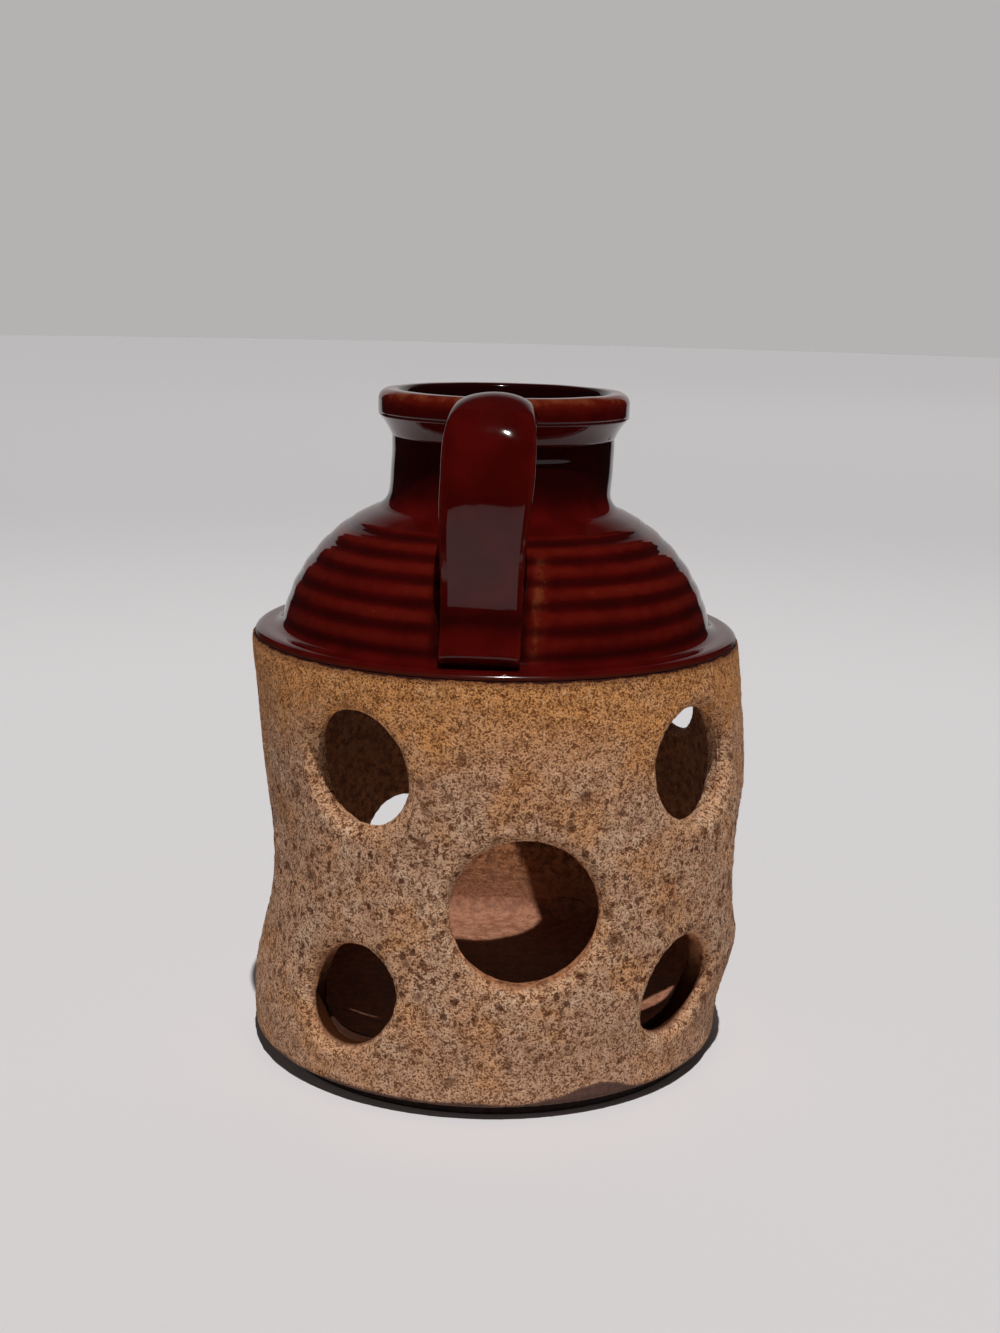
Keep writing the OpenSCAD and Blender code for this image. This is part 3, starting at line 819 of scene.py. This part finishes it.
# %% Node builder
class Nodes:
    """A material's node tree with a short way to add and link nodes."""

    def __init__(self, name):
        self.material = bpy.data.materials.new(name)
        self.material.use_nodes = True
        self.tree = self.material.node_tree
        self.shader = self.tree.nodes["Principled BSDF"]
        self.object_place = self.add("ShaderNodeTexCoord").outputs["Object"]

    def add(self, kind, settings=None, **inputs):
        """Adds a node with its settings. Inputs, by name or as i and a number, are values or outputs."""
        node = self.tree.nodes.new(kind)
        for key, value in (settings or {}).items():
            setattr(node, key, value)
        for key, value in inputs.items():
            numbered = key[0] == "i" and key[1:].isdigit()
            socket = node.inputs[int(key[1:]) if numbered else key]
            if isinstance(value, bpy.types.NodeSocket):
                self.tree.links.new(value, socket)
            else:
                socket.default_value = value
        return node

    def link(self, output, name):
        """Feeds one of the shader's own inputs."""
        self.tree.links.new(output, self.shader.inputs[name])

    def height(self):
        """Height above the table."""
        return self.add("ShaderNodeSeparateXYZ", Vector=self.object_place).outputs["Z"]

    def painted(self, name):
        """The number that was stored on the vertices."""
        return self.add("ShaderNodeAttribute", {"attribute_name": name}).outputs["Fac"]

    def noise(self, size, detail=2.0, roughness=0.5):
        """Noise whose lumps are about as wide as size."""
        return self.add(
            "ShaderNodeTexNoise", Vector=self.object_place, Scale=1 / size, Detail=detail, Roughness=roughness
        ).outputs["Fac"]

    def math(self, operation, a, b=0.0):
        """Any operation on one or two numbers or outputs."""
        return self.add("ShaderNodeMath", {"operation": operation}, i0=a, i1=b).outputs[0]

    def plus(self, a, b):
        """The sum of two numbers or outputs."""
        return self.math("ADD", a, b)

    def times(self, a, b):
        """The product of two numbers or outputs."""
        return self.math("MULTIPLY", a, b)

    def step(self, value, low, high):
        """A soft step from 0 at low to 1 at high."""
        return self.add(
            "ShaderNodeMapRange", {"interpolation_type": "SMOOTHSTEP"}, i0=value, i1=low, i2=high
        ).outputs[0]

    def spread(self, value, low, high):
        """Spreads a noise between two plain numbers."""
        return self.add("ShaderNodeMapRange", i0=value, i1=0.3, i2=0.7, i3=low, i4=high).outputs[0]

    def mix(self, share, a, b):
        """Mixes two colours."""
        return self.add("ShaderNodeMix", {"data_type": "RGBA"}, i0=share, i6=a, i7=b).outputs[2]

    def bump(self, height, distance, strength=1.0, below=None):
        """A bump from a height, stacked on another bump if there is one."""
        node = self.add("ShaderNodeBump", Height=height, Distance=distance, Strength=strength)
        if below is not None:
            self.tree.links.new(below, node.inputs["Normal"])
        return node.outputs["Normal"]


print("node builder ready")

# %% [markdown]
# ### The gloss glaze
# A deep iron-red glaze: dark and even where it lies thick, orange-brown where it ran thin on ribs and edges.
# One painted number drives the colour, with some noise so that the change is broken up; on the dome it also
# holds a painted highlight right of the handle.
# Another marks where the glaze ran together and is almost black, and also holds painted shade beside the
# handle, under the rim and inside the mouth; "dry" marks the matt edge of the ledge.
# The shine comes from the shader alone: a smooth surface and a faint orange-peel bump.

# %% Gloss glaze
def gloss_colour(n, dry):
    """Iron red from thick to thin, with pools and painted shade, a painted highlight, the dry edge and some
    freckles where it is thinnest.
    """
    deep_red, clear_red = (0.048, 0.0018, 0.0012, 1), (0.070, 0.0026, 0.0018, 1)
    rib_red, thin_brown = (0.098, 0.0062, 0.0032, 1), (0.17, 0.038, 0.013, 1)
    pool_and_shade_black, dry_brown = (0.013, 0.0011, 0.0010, 1), (0.050, 0.0075, 0.0040, 1)
    freckle_tan = (0.22, 0.07, 0.026, 1)
    # The mark for thin glaze also carries the painted highlight right of the handle.
    thin = n.times(n.painted("thin"), n.plus(0.45, n.noise(3 * mm, 3)))
    colour = n.mix(n.step(n.noise(9 * mm, 3), 0.35, 0.7), deep_red, clear_red)
    colour = n.mix(n.step(thin, 0.2, 0.75), colour, rib_red)
    colour = n.mix(n.step(thin, 0.75, 1.2), colour, thin_brown)
    # Pools go almost black, and so does the painted shade beside the handle, under the rim and inside the
    # mouth.
    colour = n.mix(n.painted("pooled_and_shade"), colour, pool_and_shade_black)
    colour = n.mix(n.times(dry, 0.8), colour, dry_brown)
    spots = n.add("ShaderNodeTexVoronoi", Vector=n.object_place, Scale=1 / (1.6 * mm)).outputs["Distance"]
    freckled = n.times(n.step(spots, 0.22, 0.10), n.step(thin, 0.5, 1.1))
    return n.mix(n.times(freckled, 0.4), colour, freckle_tan)


def gloss_glaze():
    """The material of the shoulder, the neck, the rim and the handle."""
    n = Nodes("gloss_glaze")
    dry = n.painted("dry")
    n.link(gloss_colour(n, dry), "Base Color")
    n.link(n.plus(n.spread(n.noise(5 * mm, 2), 0.03, 0.08), n.times(dry, 0.2)), "Roughness")
    n.link(n.math("SUBTRACT", 0.5, n.times(dry, 0.32)), "Specular IOR Level")
    n.link(n.bump(n.noise(2.4 * mm, 1), 0.03 * mm, 0.5), "Normal")
    n.shader.inputs["IOR"].default_value = 1.42
    return n.material


red_glaze = gloss_glaze()
print("made", red_glaze.name)

# %% [markdown]
# ### The speckled glaze
# A rough sandy glaze: tan grains on dark brown, with brown stains, small pits and some round dimples.
# It is golden under the ledge, has a painted golden highlight round the holes, and is pinker and rougher in a
# belt round the waist.
# One image would be quicker, but it would stretch on the lips, so noise of several sizes is layered instead.
# Each layer has its own short function, from the large patches to the single grains.

# %% Sand of the speckled glaze
def sandy_colour(n, z, mottle, crumb, grain, belt):
    """Tan grains on brown, golden above, with a painted golden and cream highlight round the holes, and cream
    patches in the belt.
    """
    pink_sand, gold_sand = (0.76, 0.450, 0.280, 1), (0.82, 0.368, 0.122, 1)
    pink_brown, gold_brown = (0.34, 0.152, 0.070, 1), (0.38, 0.138, 0.038, 1)
    stain_brown, grain_brown = (0.130, 0.044, 0.016, 1), (0.155, 0.047, 0.013, 1)
    cream_sand, grain_cream = (0.86, 0.600, 0.400, 1), (0.82, 0.560, 0.370, 1)
    # Painted highlight: the lips of the holes are made golden and cream.
    lip = n.painted("lip")
    patches = n.times(n.step(n.noise(13 * mm, 3), 0.42, 0.70), 0.6)
    golden = n.math("MAXIMUM", n.plus(n.step(z, 76 * mm, 104 * mm), patches), n.times(lip, 0.4))
    golden = n.math("MINIMUM", golden, 1.0)
    belt_share = n.plus(0.15, n.times(belt, 0.5))
    cream = n.plus(n.step(n.noise(9 * mm, 4, 0.6), 0.50, 0.66), n.times(lip, 0.35))
    light = n.mix(n.times(cream, belt_share), n.mix(golden, pink_sand, gold_sand), cream_sand)
    brown = n.mix(golden, pink_brown, gold_brown)
    colour = n.mix(n.times(n.step(mottle, 0.62, 0.32), 0.45), light, brown)
    colour = n.mix(n.times(n.step(crumb, 0.45, 0.34), belt_share), colour, stain_brown)
    sand = n.plus(n.times(crumb, 0.3), n.times(grain, 0.7))
    colour = n.mix(n.times(n.step(sand, 0.53, 0.42), 0.9), colour, grain_brown)
    return n.mix(n.times(n.step(sand, 0.57, 0.66), 0.6), colour, grain_cream)


print("sand: patches, stains and grains")

# %% [markdown]
# The pits are the cells of a Voronoi texture, torn out of round by noise, and each cell has its own size.
# Most lie in the belt. The dimples that were modelled are dark at the rim and a little lighter in the middle.

# %% Pits of the speckled glaze
def torn_pits(n, belt):
    """How deep a pit is at a place, from 0 to 1."""
    pit_step, tear, tear_size = 2.6 * mm, 1.6 * mm, 1.4 * mm
    pull = n.add("ShaderNodeTexNoise", Vector=n.object_place, Scale=1 / tear_size).outputs["Color"]
    torn = n.add(
        "ShaderNodeVectorMath", {"operation": "MULTIPLY_ADD"}, i0=pull, i1=(tear,) * 3, i2=n.object_place
    )
    cell = n.add("ShaderNodeTexVoronoi", Vector=torn.outputs["Vector"], Scale=1 / pit_step)
    chance = n.add("ShaderNodeSeparateColor", Color=cell.outputs["Color"]).outputs[0]
    hollow = n.math("SUBTRACT", cell.outputs["Distance"], n.times(chance, 0.36))
    return n.times(n.step(hollow, 0.05, -0.10), n.plus(0.15, n.times(belt, 0.68)))


def pitted_colour(n, colour, pits):
    """Darkens the pits, and the modelled dimples too."""
    pit_brown = (0.105, 0.028, 0.008, 1)
    dimple_brown, dimple_tan = (0.090, 0.030, 0.011, 1), (0.30, 0.110, 0.046, 1)
    dimple = n.painted("dimple")
    colour = n.mix(pits, colour, pit_brown)
    colour = n.mix(n.times(n.step(dimple, 0.0, 0.3), 0.5), colour, dimple_brown)
    return n.mix(n.times(n.step(dimple, 0.35, 0.8), 0.4), colour, dimple_tan)


print("pits: torn cells, most of them in the belt")

# %% [markdown]
# Inside, the clay is rough and brown; painted shade darkens the upper half and makes the low holes' bores
# almost black.
# At the foot the glaze was wiped off, and along the top a little of the red glaze ran down onto the sand.

# %% Inside, foot and top of the drum
def inside_colour(n, z, colour, inside, bore):
    """Rough brown inside, with painted shade above and in the low bores, and pinker next to the floor."""
    low_dark, low_light = (0.22, 0.068, 0.022, 1), (0.58, 0.235, 0.102, 1)
    high_dark, high_light = (0.16, 0.044, 0.013, 1), (0.38, 0.130, 0.046, 1)
    corner_pink, bore_dark = (0.40, 0.175, 0.098, 1), (0.042, 0.013, 0.005, 1)
    # Painted shade: the inside is darker in its upper half.
    painted_shade_above = n.step(z, 42 * mm, 62 * mm)
    blotch = n.step(n.noise(2.2 * mm, 4, 0.65), 0.40, 0.60)
    brown = n.mix(blotch, n.mix(painted_shade_above, low_dark, high_dark), n.mix(painted_shade_above, low_light, high_light))
    brown = n.mix(n.step(z, 30 * mm, 15 * mm), brown, corner_pink)
    # Painted shade: the bores of the low holes go almost black.
    return n.mix(bore, n.mix(n.times(inside, 0.8), colour, brown), bore_dark)


def edge_colour(n, z, colour, mottle, crumb):
    """Bare clay under the wiped line, and the red glaze's run along the top."""
    clay_dark, clay_light = (0.10, 0.050, 0.038, 1), (0.18, 0.096, 0.072, 1)
    run_brown, run_red = (0.13, 0.036, 0.012, 1), (0.040, 0.007, 0.004, 1)
    bare = n.step(n.plus(n.painted("above_wipe"), n.times(mottle, 0.8)), 0.9, 0.1)
    colour = n.mix(bare, colour, n.mix(crumb, clay_dark, clay_light))
    run = n.plus(z, n.times(mottle, 1.6 * mm))
    colour = n.mix(n.times(n.step(run, wall_top - 1.4 * mm, wall_top), 0.6), colour, run_brown)
    return n.mix(n.step(run, wall_top + 0.1 * mm, wall_top + 0.5 * mm), colour, run_red)


print("inside, foot and top of the drum: ready")

# %% [markdown]
# The layers are put together here. The same noise feeds the bump, so that light catches the grain,
# and the inside gets less of it. The glaze is dull, so its specular level is low, and none in the low bores.

# %% Speckled glaze
def sandy_relief(n, mottle, crumb, grain, pits, inside):
    """Bumps from coarse to fine, and the pits last."""
    rough = n.math("SUBTRACT", 1.0, n.times(inside, 0.7))
    relief = n.bump(mottle, 0.8 * mm, rough)
    relief = n.bump(crumb, 1.0 * mm, rough, relief)
    relief = n.bump(grain, 0.6 * mm, rough, relief)
    return n.bump(n.times(pits, -1.0), 0.4 * mm, rough, relief)


def speckled_glaze():
    """The material of the pierced wall."""
    n = Nodes("speckled_glaze")
    z = n.height()
    mottle, crumb, grain = n.noise(3.6 * mm, 3, 0.6), n.noise(1.5 * mm, 3, 0.65), n.noise(0.5 * mm, 2, 0.65)
    inside, bore = n.painted("inside"), n.painted("bore")
    belt = n.step(n.math("ABSOLUTE", n.math("SUBTRACT", z, 46 * mm)), 46 * mm, 18 * mm)
    pits = torn_pits(n, belt)
    colour = pitted_colour(n, sandy_colour(n, z, mottle, crumb, grain, belt), pits)
    colour = inside_colour(n, z, colour, inside, bore)
    n.link(edge_colour(n, z, colour, mottle, crumb), "Base Color")
    n.link(n.spread(crumb, 0.92, 0.66), "Roughness")
    n.link(sandy_relief(n, mottle, crumb, grain, pits, inside), "Normal")
    n.link(n.times(n.math("SUBTRACT", 1.0, bore), 0.15), "Specular IOR Level")
    n.shader.inputs["IOR"].default_value = 1.45
    return n.material


sand_glaze = speckled_glaze()
print("made", sand_glaze.name)

# %% [markdown]
# ### The bare clay
# The foot and the floor were never glazed: matt pink-brown clay with fine grog and soft stains.
# The foot has turned dark from the kiln shelf and the table, and is painted darker still as shade under the
# drum.

# %% Bare clay
def bare_clay():
    """The material of the foot ring and the floor."""
    clay_brown, clay_pink = (0.27, 0.110, 0.060, 1), (0.43, 0.195, 0.115, 1)
    bore_dark, foot_dark_and_shade = (0.042, 0.013, 0.005, 1), (0.020, 0.011, 0.010, 1)
    grog_dark = (0.05, 0.020, 0.011, 1)
    n = Nodes("bare_clay")
    stain = n.step(n.noise(2.2 * mm, 4, 0.65), 0.38, 0.62)
    # Painted shade: the floor's faces cut by the holes go almost black.
    colour = n.mix(n.painted("bore"), n.mix(stain, clay_brown, clay_pink), bore_dark)
    # The foot is dark clay, painted darker still as shade under the drum.
    colour = n.mix(n.step(n.height(), 5 * mm, 3.5 * mm), colour, foot_dark_and_shade)
    grog = n.step(n.noise(0.8 * mm, 2, 0.6), 0.50, 0.36)
    n.link(n.mix(n.times(grog, 0.3), colour, grog_dark), "Base Color")
    n.link(n.step(stain, -2.0, 1.6), "Roughness")
    n.link(n.bump(n.noise(0.8 * mm, 3), 0.12 * mm, 0.6), "Normal")
    n.shader.inputs["Specular IOR Level"].default_value = 0.15
    return n.material


clay = bare_clay()
print("made", clay.name)

# %% [markdown]
# ## Put the pieces on the frame
# Each piece gets its finish, stands for its solid, and rides on the one body of this fixed object.

# %% Ride on the frame
finished = [
    (foot_ring, "foot_ring", clay, "bare_clay"),
    (floor_slab, "floor_slab", clay, "bare_clay"),
    (pierced_wall, "pierced_wall", sand_glaze, "speckled_glaze"),
    (shoulder, "ribbed_shoulder", red_glaze, "gloss_glaze"),
    (neck, "neck_collar", red_glaze, "gloss_glaze"),
    (rim, "rolled_rim", red_glaze, "gloss_glaze"),
    (handle, "strap_handle", red_glaze, "gloss_glaze"),
]
for piece, node, finish, slot in finished:
    piece.data.materials.clear()
    piece.data.materials.append(finish)
    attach(piece, "root")
    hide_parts(node)
print("pieces on the frame:", len(finished))

# %% [markdown]
# ## The stage
# A plain pale floor, a little darker far away, as paper looks when it runs out of the light.
# It could be one colour, but a trace of fibre keeps it from looking like plastic.

# %% Floor of the stage
floor_reach = 4
near_grey, far_grey, fibre_grey = (0.75, 0.725, 0.730, 1), (0.60, 0.580, 0.585, 1), (0.45, 0.43, 0.43, 1)
stage_bm = bmesh.new()
bmesh.ops.create_circle(stage_bm, cap_ends=True, segments=96, radius=floor_reach)
stage_floor = as_piece("stage_floor", stage_bm)
paper = Nodes("pale_paper")
away = paper.add("ShaderNodeVectorMath", {"operation": "LENGTH"}, i0=paper.object_place).outputs["Value"]
tone = paper.mix(paper.step(away, 0.35, 1.1), near_grey, far_grey)
paper.link(paper.mix(paper.times(paper.noise(1.5 * mm, 3), 0.06), tone, fibre_grey), "Base Color")
paper.shader.inputs["Roughness"].default_value = 0.9
paper.shader.inputs["Specular IOR Level"].default_value = 0.2
stage_floor.data.materials.append(paper.material)
print("stage floor, metres across:", 2 * floor_reach)

# %% [markdown]
# Dark screens at the front and the sides are seen only in reflections, as a studio's black cards would be.
# They give the gloss glaze its deep colour and its clear edges of light.
# Planes would do, but an upright edge, spun part of a turn, keeps one distance all the way.

# %% Dark screens
screen_foot, screen_height, screen_steps = 1 * mm, 2.6, 32
card_black, card_grey = (0.010, 0.010, 0.011, 1), (0.022, 0.021, 0.022, 1)
card = Nodes("dark_card")
card.link(card.mix(card.noise(0.3, 2), card_black, card_grey), "Base Color")
card.shader.inputs["Specular IOR Level"].default_value = 0.0
# Each screen: name, distance in metres, and the directions of its two ends, in degrees right of the camera
screens = [("front", 1.05, -36, 36), ("right", 0.45, 30, 146), ("left", 0.45, -146, -30)]
for side, distance, start, end in screens:
    screen_bm = bmesh.new()
    foot_end, top_end = [screen_bm.verts.new((0, -distance, z)) for z in (screen_foot, screen_height)]
    upright = screen_bm.edges.new((foot_end, top_end))
    turn = Matrix.Rotation(camera_turn + math.radians(start), 4, "Z")
    bmesh.ops.transform(screen_bm, matrix=turn, verts=screen_bm.verts[:])
    bmesh.ops.spin(
        screen_bm, geom=[foot_end, top_end, upright], cent=(0, 0, 0), axis=(0, 0, 1),
        angle=math.radians(end - start), steps=screen_steps,
    )
    screen = as_piece("stage_screen_" + side, screen_bm)
    screen.data.materials.append(card.material)
    screen.visible_camera = False
    screen.visible_diffuse = False
    screen.visible_transmission = False
    screen.visible_shadow = False
print("dark screens:", len(screens))

# %% [markdown]
# ## The light
# A small high lamp gives the clear light of the photo with one small glint, and shines in through the mouth.
# Two weak broad lamps, in front and behind, fill the shade and leave no glint of their own.

# %% Lamps
key_climb, key_turn = math.radians(70.5), math.radians(8.8)
fill_size, fill_distance = 2.0, 2.4
fill_aim = Vector((0, 0, 80 * mm))


def fill_lamp(name, watts, turn, climb):
    """A broad round lamp aimed at the jug, from a turn right of the camera and a climb, in degrees."""
    data = bpy.data.lights.new(name, "AREA")
    data.shape = "DISK"
    data.size = fill_size
    data.energy = watts
    a = camera_turn + math.radians(turn)
    e = math.radians(climb)
    away = Vector((math.sin(a) * math.cos(e), -math.cos(a) * math.cos(e), math.sin(e)))
    obj = bpy.data.objects.new(name, data)
    bpy.context.scene.collection.objects.link(obj)
    obj.location = away * fill_distance + fill_aim
    obj.rotation_mode = "QUATERNION"
    obj.rotation_quaternion = away.to_track_quat("Z", "Y")
    obj.visible_glossy = False
    return obj


key = bpy.data.objects.new("key_lamp", bpy.data.lights.new("key_lamp", "SUN"))
key.data.energy = 0.88 * math.pi
key.data.angle = math.radians(0.8)
key.rotation_euler = (math.pi / 2 - key_climb, 0, camera_turn + key_turn)
bpy.context.scene.collection.objects.link(key)
fill = fill_lamp("fill_lamp", 1.6, -35, 25)
back_fill = fill_lamp("back_lamp", 2.2, 165, 35)
print("lamps:", key.name, fill.name, back_fill.name)

# %% [markdown]
# The surround is pale at eye level and dark overhead, so that the gloss glaze keeps its depth.
# The camera and the reflections see it at full strength, and it lights the jug at a lower one.

# %% Surround
world = bpy.data.worlds.new("surround")
world.use_nodes = True
bpy.context.scene.world = world
tree = world.node_tree
background = tree.nodes["Background"]
direction = tree.nodes.new("ShaderNodeTexCoord")
parts = tree.nodes.new("ShaderNodeSeparateXYZ")
shade = tree.nodes.new("ShaderNodeValToRGB")
tree.links.new(direction.outputs["Generated"], parts.inputs["Vector"])
tree.links.new(parts.outputs["Z"], shade.inputs["Fac"])
tree.links.new(shade.outputs["Color"], background.inputs["Color"])
stops = shade.color_ramp.elements
stops[0].position, stops[0].color = 0.30, (0.46, 0.445, 0.445, 1)
stops[1].position, stops[1].color = 0.62, (0.02, 0.02, 0.022, 1)
print("surround: pale at eye level, dark overhead")

# %% Strength of the surround
ray = tree.nodes.new("ShaderNodeLightPath")
level = tree.nodes.new("ShaderNodeMapRange")
level.inputs["To Min"].default_value = 0.28
level.inputs["To Max"].default_value = 1.0
seen = ray.outputs["Is Camera Ray"]
for kind in ("Is Glossy Ray", "Is Transmission Ray"):
    either = tree.nodes.new("ShaderNodeMath")
    either.operation = "MAXIMUM"
    tree.links.new(seen, either.inputs[0])
    tree.links.new(ray.outputs[kind], either.inputs[1])
    seen = either.outputs[0]
tree.links.new(seen, level.inputs["Value"])
tree.links.new(level.outputs[0], background.inputs["Strength"])
bpy.context.scene.view_settings.view_transform = "Standard"
print("strength where it lights the jug:", round(level.inputs["To Min"].default_value, 2))
